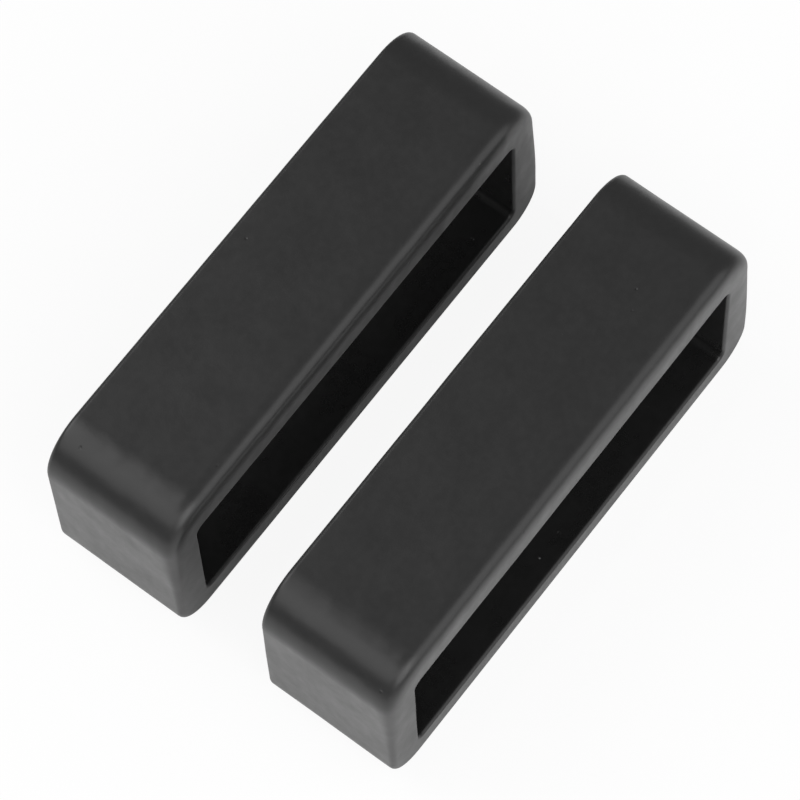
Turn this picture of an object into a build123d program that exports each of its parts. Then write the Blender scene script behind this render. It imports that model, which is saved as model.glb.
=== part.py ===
from build123d import *
import os

# A pair of moulded rubber keepers for a watch strap, in millimetres.
# Each keeper is one closed loop. A thick wall lies over the strap's tail, a thinner one
# lies against the wrist, and the slot between them takes both layers of the strap.
# The keepers stand on a flat surface, one in front of the other, with their slots in line.
# X runs across the strap, Y along it to the rear keeper, and Z up from the surface.

# The strap that the keepers hold
strap_width = 22.0
strap_thickness = 3.2
strap_layers = 2

# Room for the strap in the slot, at each side and above both layers
side_clearance = 0.2
lift_clearance = 0.6

# The walls of a keeper, and how much of the strap it covers
top_wall = 2.1
bottom_wall = 1.5
end_wall = 1.8
keeper_depth = 6.9

# Corners of the loop's outline, seen along the strap
top_corner_radius = 2.35
bottom_corner_radius = 1.85

# The front rim is formed inside the mould and is soft.
# The rear rim lies on the mould's parting plane and is crisper.
front_rim_radius = 0.6
rear_rim_radius = 0.25

# Corners of the slot, and the eased edge round both of its mouths
slot_corner_radius = 0.4
slot_mouth_radius = 0.15

# Clear space between the two keepers as they stand
keeper_gap = 4.72

# Sizes that follow from the ones above
slot_width = strap_width + 2 * side_clearance
slot_height = strap_layers * strap_thickness + lift_clearance
slot_centre_height = bottom_wall + slot_height / 2
loop_length = slot_width + 2 * end_wall
loop_height = bottom_wall + slot_height + top_wall
keeper_pitch = keeper_gap + keeper_depth

# Where the middle of each keeper stands along the strap
keeper_places = {
    "front_keeper": -keeper_pitch / 2,
    "rear_keeper": keeper_pitch / 2,
}

os.makedirs("parts", exist_ok=True)

for name, place in keeper_places.items():
    rear_plane = Plane.XZ.offset(-(place + keeper_depth / 2))

    with BuildPart() as keeper:
        # The loop's section, carried from its rear face to its front face
        with BuildSketch(rear_plane) as section:
            with Locations((0, loop_height / 2)):
                Rectangle(loop_length, loop_height)
            fillet(section.vertices().group_by(Axis.Y)[-1], radius=top_corner_radius)
            fillet(section.vertices().group_by(Axis.Y)[0], radius=bottom_corner_radius)
            with Locations((0, slot_centre_height)):
                RectangleRounded(slot_width, slot_height, slot_corner_radius, mode=Mode.SUBTRACT)
        extrude(amount=keeper_depth)

        # Rounded rims outside, and eased edges where the strap goes in and out
        front_face = keeper.faces().sort_by(Axis.Y)[0]
        fillet(front_face.outer_wire().edges(), radius=front_rim_radius)
        rear_face = keeper.faces().sort_by(Axis.Y)[-1]
        fillet(rear_face.outer_wire().edges(), radius=rear_rim_radius)
        for mouth_face in keeper.faces().filter_by(Axis.Y):
            fillet(mouth_face.inner_wires()[0].edges(), radius=slot_mouth_radius)

    keeper.part.label = name
    export_step(keeper.part, f"parts/{name}.step")
    print(name, "volume", keeper.part.volume, "size", keeper.part.bounding_box().size)
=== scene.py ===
from math import cos, exp, pi, radians, sin, tan

import bmesh
import bpy
from mathutils import Matrix, Vector, noise


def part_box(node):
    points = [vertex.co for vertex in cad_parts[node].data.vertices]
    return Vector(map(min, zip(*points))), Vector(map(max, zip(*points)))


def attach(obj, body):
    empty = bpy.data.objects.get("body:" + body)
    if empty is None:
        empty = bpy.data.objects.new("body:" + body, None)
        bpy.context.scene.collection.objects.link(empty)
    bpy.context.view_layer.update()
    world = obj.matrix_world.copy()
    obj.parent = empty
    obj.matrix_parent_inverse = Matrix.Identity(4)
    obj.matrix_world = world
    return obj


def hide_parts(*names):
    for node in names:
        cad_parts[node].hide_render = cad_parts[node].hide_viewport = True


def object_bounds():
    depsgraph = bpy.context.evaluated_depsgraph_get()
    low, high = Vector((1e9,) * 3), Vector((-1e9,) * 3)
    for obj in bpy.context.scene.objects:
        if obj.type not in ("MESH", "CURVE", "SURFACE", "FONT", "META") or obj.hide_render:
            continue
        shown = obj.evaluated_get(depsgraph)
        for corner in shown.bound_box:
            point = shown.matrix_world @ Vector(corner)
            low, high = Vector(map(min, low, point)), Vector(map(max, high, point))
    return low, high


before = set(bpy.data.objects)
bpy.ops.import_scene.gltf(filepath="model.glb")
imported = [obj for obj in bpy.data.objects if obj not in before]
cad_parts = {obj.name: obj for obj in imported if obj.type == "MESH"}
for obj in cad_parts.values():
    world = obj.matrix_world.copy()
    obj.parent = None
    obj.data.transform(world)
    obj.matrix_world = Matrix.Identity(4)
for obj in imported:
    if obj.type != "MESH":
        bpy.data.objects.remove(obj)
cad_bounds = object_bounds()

MM = 0.001

# The keepers' walls and rounding, as the solids have them
TOP_WALL = 2.1 * MM
BOTTOM_WALL = 1.5 * MM
END_WALL = 1.8 * MM
TOP_CORNER = 2.35 * MM
BOTTOM_CORNER = 1.85 * MM
REAR_RIM = 0.25 * MM
SLOT_CORNER = 0.4 * MM
SLOT_MOUTH = 0.15 * MM

# The front rim: its radius in the middle, and how far it runs out over the outer side and
# over the face. It is soft along the top and crisp along the foot.
SOFT_RIM = (0.5 * MM, 0.35 * MM, 0.6 * MM)
CRISP_RIM = (0.25 * MM, 0.04 * MM, 0.06 * MM)
CRISP_BELOW = 3.0 * MM
SOFT_ABOVE = 9.8 * MM
RUN_OUT_TURN = radians(6)

# Faces along and round a keeper's mesh, and the share of even spacing among them
LONG_STEPS = 70
SHORT_STEPS = 24
CORNER_STEPS = 14
DEPTH_STEPS = 24
RIM_STEPS = 20
RIM_SAMPLES = 400
RIM_END_SAMPLES = (0, 1, 3, 6, 10, 15)
WALL_STEPS = 9
MOUTH_STEPS = 5
EVEN_SHARE = 0.35

# The rubber isn't dead flat: it swells and sinks a little, but not where it stands. The
# shift gives each keeper a pattern of its own.
SWELL_HEIGHT = 0.012 * MM
SWELL_LENGTH = 3.4 * MM
RIPPLE_HEIGHT = 0.0035 * MM
RIPPLE_LENGTH = 1.1 * MM
FOOT_HEIGHT = 1.2 * MM
KEEPER_SHIFT = Vector((7.3, 2.9, 5.1))

# The camera, about the middle of the rear keeper's base
VIEW_AZIMUTH = radians(-49.2)
VIEW_ELEVATION = radians(67.55)
VIEW_ROLL = radians(-3.816)
VIEW_DISTANCE = 216.6 * MM
VIEW_ASIDE = 4.335 * MM
VIEW_BELOW = 1.4 * MM
SENSOR = 36.0
LENS = 216.96
CLIP_START = 1 * MM

# The room's level, and each soft box's name, azimuth, elevation, half width in degrees
# and level. At level 1 a soft box looks white in a mirror.
ROOM_LEVEL = 0.24
LAMP_DISTANCE = 0.45
SOFT_BOXES = (
    ("back", 104, 50, 22, 2.4),
    ("left", 166, 45, 20, 1.2),
    ("front_left", 236, 42, 26, 2.3),
    ("front", 285, 34, 33, 1.0),
)

# The floor, which is a sheet of paper a little below the keepers' feet, and the share of
# plain white that the camera sees in it
FLOOR_HALF = 60 * MM
FLOOR_DROP = 0.02 * MM
FLOOR_COLOUR = (0.9, 0.9, 0.9, 1)
FLOOR_WHITE_SHARE = 0.9
WHITE = (1, 1, 1, 1)

# Where the patterns of the relief and the finish start, so that they don't fall together
PATTERN = (0, 0, 0)
OTHER_PATTERN = (31, 17, 53)

# The rubber's relief, with sizes and depths in millimetres
PEEL_SIZE = 1.0
PEEL_TALL = 2.0
PEEL_DEPTH = 0.032
PEEL_DETAIL = 1.0
PEEL_BREAKUP = 0.4
PEEL_SHARE_ON_TOP = 0.45
PEEL_SHARE_ON_WALLS = 1.5
GRAIN_SIZE = 0.09
GRAIN_DEPTH = 0.002
GRAIN_BREAKUP = 0.6
PIT_SPACING = 0.9
PIT_RADIUS = 0.11
PIT_DEPTH = 0.02
PIT_CHANCE = 0.12
DUST_SPACING = 0.8
DUST_RADIUS = 0.07
DUST_DEPTH = 0.02
DUST_CHANCE = 0.025

# The rubber's finish and colour, with sizes in millimetres
CLOUD_SIZE = 2.2
CLOUD_DETAIL = 3.0
CLOUD_BREAKUP = 0.6
MOTTLE_SIZE = 0.35
NOISE_RANGE = (0.25, 0.75)
SHADE_RANGE = (0.3, 0.75)
ROUGHNESS = 0.32
CLOUD_ROUGHNESS = 0.03
MOTTLE_ROUGHNESS = 0.015
RIM_ROUGHNESS = 0.06
SLOT_POLISH = 0.03
DUST_ROUGHNESS = 0.3
DARK = 0.018
MOTTLE_SHARE = 0.04
# Painted shade: the share of the colour kept inside the slot, darkened to stand in for the shade
# in there
SLOT_PAINTED_SHADE = 0.4
# Painted shade: the share of the colour kept in the pits, darkened to stand in for the shade in
# them
PIT_PAINTED_SHADE = 0.4
DUST_PALENESS = 0.09
IOR = 1.5
SHEEN = 0.02
SHEEN_ROUGHNESS = 0.5

# Each keeper's solid and the body that it rides on
KEEPERS = {"rear_keeper": "fixed_loop", "front_keeper": "free_loop"}


def eased(steps):
    """Shares from 0 to 1, close together at both ends so that shading stops at a bend."""
    shares = []
    for i in range(steps + 1):
        even = i / steps
        shares.append(EVEN_SHARE * even + (1 - EVEN_SHARE) * (1 - cos(pi * even)) / 2)
    return shares


def rim_curve(core, side_run, face_run):
    """The front rim from the face round to the outer side, as (inset, setback, tight).

    Its radius is that of the core in the middle and grows towards both ends, so that the
    rim runs out into the faces without an edge. Tight is 1 where the curve is tightest.
    """
    quarter = pi / 2
    turn = quarter / RIM_SAMPLES
    points = [(0.0, 0.0)]
    for i in range(RIM_SAMPLES):
        tilt = turn * (i + 0.5)
        radius = core
        radius += side_run / RUN_OUT_TURN * exp(-tilt / RUN_OUT_TURN)
        radius += face_run / RUN_OUT_TURN * exp((tilt - quarter) / RUN_OUT_TURN)
        inset, setback = points[-1]
        points.append((inset + radius * turn * sin(tilt), setback - radius * turn * cos(tilt)))
    depth = -points[-1][1]

    # Points at even turns, with more of them at both ends
    kept = {round(RIM_SAMPLES * i / RIM_STEPS) for i in range(RIM_STEPS)}
    kept |= set(RIM_END_SAMPLES) | {RIM_SAMPLES - k for k in RIM_END_SAMPLES}
    curve = []
    for k in sorted(kept, reverse=True):
        inset, setback = points[k]
        curve.append((inset, depth + setback, sin(2 * turn * k)))
    return curve


def mixed(first, second, share):
    """The point that lies between two others."""
    return tuple(a + (b - a) * share for a, b in zip(first, second))


def outline(low, high, low_radius, high_radius):
    """Points of a rounded rectangle in X and Z, the same number for any size."""
    corners = (
        (high[0] - low_radius, low[1] + low_radius, low_radius, -90, SHORT_STEPS),
        (high[0] - high_radius, high[1] - high_radius, high_radius, 0, LONG_STEPS),
        (low[0] + high_radius, high[1] - high_radius, high_radius, 90, SHORT_STEPS),
        (low[0] + low_radius, low[1] + low_radius, low_radius, 180, LONG_STEPS),
    )
    arcs = []
    for x, z, radius, start, steps in corners:
        turns = [radians(start + 90 * i / CORNER_STEPS) for i in range(CORNER_STEPS + 1)]
        arcs.append(([(x + radius * cos(a), z + radius * sin(a)) for a in turns], steps))
    points = []
    for i, (arc, steps) in enumerate(arcs):
        points += arc
        end, start = arc[-1], arcs[(i + 1) % len(arcs)][0][0]
        points += [mixed(end, start, share) for share in eased(steps)[1:-1]]
    return points


def softness(height):
    """How soft the front rim is at a height over the foot, from 0 to 1."""
    share = min(1, max(0, (height - CRISP_BELOW) / (SOFT_ABOVE - CRISP_BELOW)))
    return share * share * (3 - 2 * share)


def front_rim_rings(outer, front, floor):
    """Rings of the front rim from the face round to the outer side, as (points, rim)."""
    softnesses = [softness(z - floor) for x, z in outer(0)]
    rings = []
    for crisp, soft in zip(rim_curve(*CRISP_RIM), rim_curve(*SOFT_RIM)):
        ring = []
        for (cx, cz), (sx, sz), share in zip(outer(crisp[0]), outer(soft[0]), softnesses):
            ring.append(mixed((cx, front + crisp[1], cz), (sx, front + soft[1], sz), share))
        rings.append((ring, soft[2]))
    return rings


def keeper_rings(low, high):
    """Closed rings of points round the wall's section, as (points, rim, slot).

    Rim is 1 on the rounded edges and slot is 1 on the walls that touch the strap.
    """
    front, rear = low.y, high.y
    slot_low = (low.x + END_WALL, low.z + BOTTOM_WALL)
    slot_high = (high.x - END_WALL, high.z - TOP_WALL)
    quarter = pi / 2
    rings = []

    def outer(inset):
        return outline(
            (low.x + inset, low.z + inset),
            (high.x - inset, high.z - inset),
            BOTTOM_CORNER - inset,
            TOP_CORNER - inset,
        )

    def slot(spread):
        return outline(
            (slot_low[0] - spread, slot_low[1] - spread),
            (slot_high[0] + spread, slot_high[1] + spread),
            SLOT_CORNER + spread,
            SLOT_CORNER + spread,
        )

    def ring_at(points, y):
        return [(x, y, z) for x, z in points]

    def add_between(first, second, steps, rim, slot_share):
        for share in eased(steps)[1:-1]:
            ring = [mixed(a, b, share) for a, b in zip(first, second)]
            rings.append((ring, rim, slot_share))

    # Front rim, outer side and rear rim
    front_rim = front_rim_rings(outer, front, low.z)
    for ring, tight in front_rim:
        rings.append((ring, tight, 0))
    add_between(front_rim[-1][0], ring_at(outer(0), rear - REAR_RIM), DEPTH_STEPS, 0, 0)
    for i in range(RIM_STEPS + 1):
        a = quarter * i / RIM_STEPS
        ring = ring_at(outer(REAR_RIM * (1 - cos(a))), rear - REAR_RIM * (1 - sin(a)))
        rings.append((ring, sin(2 * a), 0))

    # Rear face and rear mouth
    add_between(ring_at(outer(REAR_RIM), rear), ring_at(slot(SLOT_MOUTH), rear), WALL_STEPS, 0, 0)
    for i in range(MOUTH_STEPS + 1):
        a = quarter * i / MOUTH_STEPS
        ring = ring_at(slot(SLOT_MOUTH * (1 - sin(a))), rear - SLOT_MOUTH * (1 - cos(a)))
        rings.append((ring, sin(2 * a), a / quarter))

    # Slot, front mouth and front face
    slot_start = ring_at(slot(0), rear - SLOT_MOUTH)
    slot_end = ring_at(slot(0), front + SLOT_MOUTH)
    add_between(slot_start, slot_end, DEPTH_STEPS, 0, 1)
    for i in range(MOUTH_STEPS + 1):
        a = quarter * i / MOUTH_STEPS
        ring = ring_at(slot(SLOT_MOUTH * (1 - cos(a))), front + SLOT_MOUTH * (1 - sin(a)))
        rings.append((ring, sin(2 * a), 1 - a / quarter))
    add_between(ring_at(slot(SLOT_MOUTH), front), front_rim[0][0], WALL_STEPS, 0, 0)
    return rings


def unevenness(point, floor, offset):
    """How far the rubber stands out or sinks at a point, fading out towards its foot."""
    swell = SWELL_HEIGHT * noise.noise(point / SWELL_LENGTH + offset)
    ripple = RIPPLE_HEIGHT * noise.noise(point / RIPPLE_LENGTH + 2 * offset)
    foot = min(1, max(0, (point.z - floor) / FOOT_HEIGHT))
    return (swell + ripple) * foot * foot * (3 - 2 * foot)


def keeper_mesh(name, low, high, offset):
    """A keeper's closed skin, in quads. Wall is 1 where it stands upright."""
    mesh = bpy.data.meshes.new(name)
    work = bmesh.new()
    rim_layer = work.verts.layers.float.new("rim")
    slot_layer = work.verts.layers.float.new("slot")
    wall_layer = work.verts.layers.float.new("wall")
    rings = []
    for points, rim, slot in keeper_rings(low, high):
        ring = [work.verts.new(point) for point in points]
        for vert in ring:
            vert[rim_layer] = rim
            vert[slot_layer] = slot
        rings.append(ring)
    count = len(rings[0])
    for i, ring in enumerate(rings):
        following = rings[(i + 1) % len(rings)]
        for k in range(count):
            n = (k + 1) % count
            work.faces.new((ring[k], ring[n], following[n], following[k]))
    bmesh.ops.recalc_face_normals(work, faces=work.faces)
    work.normal_update()
    moves = [vert.normal * unevenness(vert.co, low.z, offset) for vert in work.verts]
    for vert, move in zip(work.verts, moves):
        vert[wall_layer] = 1 - vert.normal.z ** 2
        vert.co += move
    for face in work.faces:
        face.smooth = True
    work.to_mesh(mesh)
    work.free()
    return mesh


def make_keepers(rubber):
    for i, (node, body) in enumerate(KEEPERS.items()):
        low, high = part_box(node)
        name = node + "_skin"
        mesh = keeper_mesh(name, low, high, KEEPER_SHIFT * (i + 1))
        piece = bpy.data.objects.new(name, mesh)
        bpy.context.scene.collection.objects.link(piece)
        piece.data.materials.append(rubber)
        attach(piece, body)
        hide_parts(node)


class Shading:
    """Short names for the nodes that a material is made of."""

    def __init__(self, name):
        self.material = bpy.data.materials.new(name)
        self.material.use_nodes = True
        self.nodes = self.material.node_tree.nodes
        self.links = self.material.node_tree.links
        self.shader = self.nodes["Principled BSDF"]

    def feed(self, socket, value):
        if isinstance(value, bpy.types.NodeSocket):
            self.links.new(value, socket)
        else:
            socket.default_value = value

    def math(self, operation, first, second=0.0):
        node = self.nodes.new("ShaderNodeMath")
        node.operation = operation
        self.feed(node.inputs[0], first)
        self.feed(node.inputs[1], second)
        return node.outputs[0]

    def place(self, offset, tall=1.0):
        """The place on the object, in millimetres. Tall stretches a pattern upwards."""
        coordinates = self.nodes.new("ShaderNodeTexCoord")
        mapping = self.nodes.new("ShaderNodeMapping")
        mapping.inputs["Location"].default_value = offset
        mapping.inputs["Scale"].default_value = (1 / MM, 1 / MM, 1 / MM / tall)
        self.links.new(coordinates.outputs["Object"], mapping.inputs["Vector"])
        return mapping.outputs["Vector"]

    def noise(self, place, size, detail=2.0, breakup=0.5):
        """Noise from 0 to 1 with blotches of a size in millimetres."""
        node = self.nodes.new("ShaderNodeTexNoise")
        self.links.new(place, node.inputs["Vector"])
        node.inputs["Scale"].default_value = 1 / size
        node.inputs["Detail"].default_value = detail
        node.inputs["Roughness"].default_value = breakup
        return node.outputs["Fac"]

    def spots(self, place, spacing, radius, kept):
        """1 at the middle of scattered round spots and 0 off them. Sizes in millimetres."""
        node = self.nodes.new("ShaderNodeTexVoronoi")
        self.links.new(place, node.inputs["Vector"])
        node.inputs["Scale"].default_value = 1 / spacing
        chance = self.nodes.new("ShaderNodeSeparateColor")
        self.links.new(node.outputs["Color"], chance.inputs["Color"])
        near = self.spread(node.outputs["Distance"], (0, radius / spacing), (1, 0))
        return self.math("MULTIPLY", near, self.math("LESS_THAN", chance.outputs["Red"], kept))

    def spread(self, value, old, new):
        """A value carried from one range to another, with soft ends."""
        node = self.nodes.new("ShaderNodeMapRange")
        node.interpolation_type = "SMOOTHSTEP"
        self.links.new(value, node.inputs["Value"])
        node.inputs["From Min"].default_value = old[0]
        node.inputs["From Max"].default_value = old[1]
        node.inputs["To Min"].default_value = new[0]
        node.inputs["To Max"].default_value = new[1]
        return node.outputs["Result"]

    def attribute(self, name):
        node = self.nodes.new("ShaderNodeAttribute")
        node.attribute_name = name
        return node.outputs["Fac"]

    def grey(self, value):
        node = self.nodes.new("ShaderNodeCombineColor")
        for channel in node.inputs:
            self.feed(channel, value)
        return node.outputs["Color"]

    def bump(self, height, depth, before=None):
        """Relief whose height of 1 stands out by a depth in millimetres."""
        node = self.nodes.new("ShaderNodeBump")
        node.inputs["Strength"].default_value = 1.0
        node.inputs["Distance"].default_value = depth * MM
        self.links.new(height, node.inputs["Height"])
        if before:
            self.links.new(before, node.inputs["Normal"])
        return node.outputs["Normal"]


def rubber_relief(s, pits, dust):
    """Orange peel, which is stronger on the upright walls, with grain, pits and dust."""
    peel = s.noise(s.place(PATTERN, PEEL_TALL), PEEL_SIZE, PEEL_DETAIL, PEEL_BREAKUP)
    grain = s.noise(s.place(OTHER_PATTERN), GRAIN_SIZE, breakup=GRAIN_BREAKUP)
    strength = s.spread(s.attribute("wall"), (0, 1), (PEEL_SHARE_ON_TOP, PEEL_SHARE_ON_WALLS))
    normal = s.bump(s.math("MULTIPLY", peel, strength), PEEL_DEPTH)
    normal = s.bump(grain, GRAIN_DEPTH, normal)
    normal = s.bump(s.math("MULTIPLY", pits, -1.0), PIT_DEPTH, normal)
    normal = s.bump(dust, DUST_DEPTH, normal)
    s.links.new(normal, s.shader.inputs["Normal"])


def rubber_finish(s, mottle, dust):
    """Cloudy roughness, which is a little higher on the rims and lower inside the slot."""
    cloud = s.noise(s.place(OTHER_PATTERN), CLOUD_SIZE, CLOUD_DETAIL, CLOUD_BREAKUP)
    cloudy = (ROUGHNESS - CLOUD_ROUGHNESS, ROUGHNESS + CLOUD_ROUGHNESS)
    blotchy = s.spread(mottle, NOISE_RANGE, (-MOTTLE_ROUGHNESS, MOTTLE_ROUGHNESS))
    rough = s.math("ADD", s.spread(cloud, NOISE_RANGE, cloudy), blotchy)
    rough = s.math("ADD", rough, s.math("MULTIPLY", s.attribute("rim"), RIM_ROUGHNESS))
    rough = s.math("SUBTRACT", rough, s.math("MULTIPLY", s.attribute("slot"), SLOT_POLISH))
    rough = s.math("ADD", rough, s.math("MULTIPLY", dust, DUST_ROUGHNESS))
    s.links.new(rough, s.shader.inputs["Roughness"])


def rubber_colour(s, mottle, pits, dust):
    """Nearly black, with faint blotches and pale dust, and painted shade that darkens the pits
    and the inside of the slot.
    """
    shade = s.spread(mottle, SHADE_RANGE, (DARK * (1 - MOTTLE_SHARE), DARK * (1 + MOTTLE_SHARE)))
    # Painted shade: the colour inside the slot is darkened to stand in for the shade in there
    shade = s.math("MULTIPLY", shade, s.spread(s.attribute("slot"), (0, 1), (1, SLOT_PAINTED_SHADE)))
    # Painted shade: the colour in the pits is darkened to stand in for the shade in them
    shade = s.math("MULTIPLY", shade, s.spread(pits, (0, 1), (1, PIT_PAINTED_SHADE)))
    shade = s.math("ADD", shade, s.math("MULTIPLY", dust, DUST_PALENESS))
    s.links.new(s.grey(shade), s.shader.inputs["Base Color"])


def rubber_material():
    """Satin black silicone rubber, as it leaves the mould."""
    s = Shading("black_silicone")
    pits = s.spots(s.place(PATTERN), PIT_SPACING, PIT_RADIUS, PIT_CHANCE)
    dust = s.spots(s.place(OTHER_PATTERN), DUST_SPACING, DUST_RADIUS, DUST_CHANCE)
    mottle = s.noise(s.place(PATTERN), MOTTLE_SIZE)
    rubber_relief(s, pits, dust)
    rubber_finish(s, mottle, dust)
    rubber_colour(s, mottle, pits, dust)
    s.shader.inputs["IOR"].default_value = IOR
    s.shader.inputs["Sheen Weight"].default_value = SHEEN
    s.shader.inputs["Sheen Roughness"].default_value = SHEEN_ROUGHNESS
    return s.material


def floor_material():
    """White paper that keeps the shadow, lifted to white for the camera alone."""
    material = bpy.data.materials.new("floor")
    material.use_nodes = True
    nodes, links = material.node_tree.nodes, material.node_tree.links
    nodes.clear()
    output = nodes.new("ShaderNodeOutputMaterial")
    paper = nodes.new("ShaderNodeBsdfDiffuse")
    paper.inputs["Color"].default_value = FLOOR_COLOUR
    white = nodes.new("ShaderNodeEmission")
    white.inputs["Color"].default_value = WHITE
    path = nodes.new("ShaderNodeLightPath")
    share = nodes.new("ShaderNodeMath")
    share.operation = "MULTIPLY"
    share.inputs[1].default_value = FLOOR_WHITE_SHARE
    mix = nodes.new("ShaderNodeMixShader")
    links.new(path.outputs["Is Camera Ray"], share.inputs[0])
    links.new(share.outputs[0], mix.inputs["Fac"])
    links.new(paper.outputs[0], mix.inputs[1])
    links.new(white.outputs[0], mix.inputs[2])
    links.new(mix.outputs[0], output.inputs["Surface"])
    return material


def make_floor():
    height = cad_bounds[0][2] - FLOOR_DROP
    sides = ((-1, -1), (1, -1), (1, 1), (-1, 1))
    corners = [(x * FLOOR_HALF, y * FLOOR_HALF, height) for x, y in sides]
    mesh = bpy.data.meshes.new("floor")
    mesh.from_pydata(corners, [], [(0, 1, 2, 3)])
    floor = bpy.data.objects.new("floor", mesh)
    bpy.context.scene.collection.objects.link(floor)
    floor.data.materials.append(floor_material())


def make_world():
    """A plain dim room, which the camera sees as white."""
    world = bpy.data.worlds.new("studio")
    bpy.context.scene.world = world
    world.use_nodes = True
    nodes, links = world.node_tree.nodes, world.node_tree.links
    nodes.clear()
    output = nodes.new("ShaderNodeOutputWorld")
    path = nodes.new("ShaderNodeLightPath")
    room = nodes.new("ShaderNodeBackground")
    room.inputs["Color"].default_value = WHITE
    room.inputs["Strength"].default_value = ROOM_LEVEL
    white = nodes.new("ShaderNodeBackground")
    white.inputs["Color"].default_value = WHITE
    mix = nodes.new("ShaderNodeMixShader")
    links.new(path.outputs["Is Camera Ray"], mix.inputs["Fac"])
    links.new(room.outputs[0], mix.inputs[1])
    links.new(white.outputs[0], mix.inputs[2])
    links.new(mix.outputs[0], output.inputs["Surface"])


def make_soft_box(name, azimuth, elevation, spread, radiance):
    """A round soft box that faces the keepers, with its half width as an angle."""
    radius = LAMP_DISTANCE * tan(radians(spread))
    data = bpy.data.lights.new(name, "AREA")
    data.shape = "DISK"
    data.size = 2 * radius
    data.energy = radiance * pi * pi * radius ** 2
    lamp = bpy.data.objects.new(name, data)
    bpy.context.scene.collection.objects.link(lamp)
    across, up = radians(azimuth), radians(elevation)
    away = Vector((cos(across) * cos(up), sin(across) * cos(up), sin(up)))
    lamp.location = away * LAMP_DISTANCE
    lamp.rotation_euler = away.to_track_quat("Z", "Y").to_euler()


def make_camera():
    back = Vector((
        sin(VIEW_AZIMUTH) * cos(VIEW_ELEVATION),
        -cos(VIEW_AZIMUTH) * cos(VIEW_ELEVATION),
        sin(VIEW_ELEVATION),
    ))
    level = Vector((cos(VIEW_AZIMUTH), sin(VIEW_AZIMUTH), 0))
    rise = back.cross(level)
    right = cos(VIEW_ROLL) * level + sin(VIEW_ROLL) * rise
    up = -sin(VIEW_ROLL) * level + cos(VIEW_ROLL) * rise
    low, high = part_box("rear_keeper")
    base = Vector(((low.x + high.x) / 2, (low.y + high.y) / 2, low.z))
    data = bpy.data.cameras.new("camera")
    data.sensor_width = SENSOR
    data.lens = LENS
    data.clip_start = CLIP_START
    camera = bpy.data.objects.new("camera", data)
    bpy.context.scene.collection.objects.link(camera)
    place = base + back * VIEW_DISTANCE + right * VIEW_ASIDE - up * VIEW_BELOW
    turn = Matrix((right, up, back)).transposed().to_4x4()
    camera.matrix_world = Matrix.Translation(place) @ turn
    bpy.context.scene.camera = camera


bpy.context.scene.view_settings.view_transform = "Standard"
make_camera()
make_keepers(rubber_material())
make_floor()
make_world()
for soft_box in SOFT_BOXES:
    make_soft_box(*soft_box)
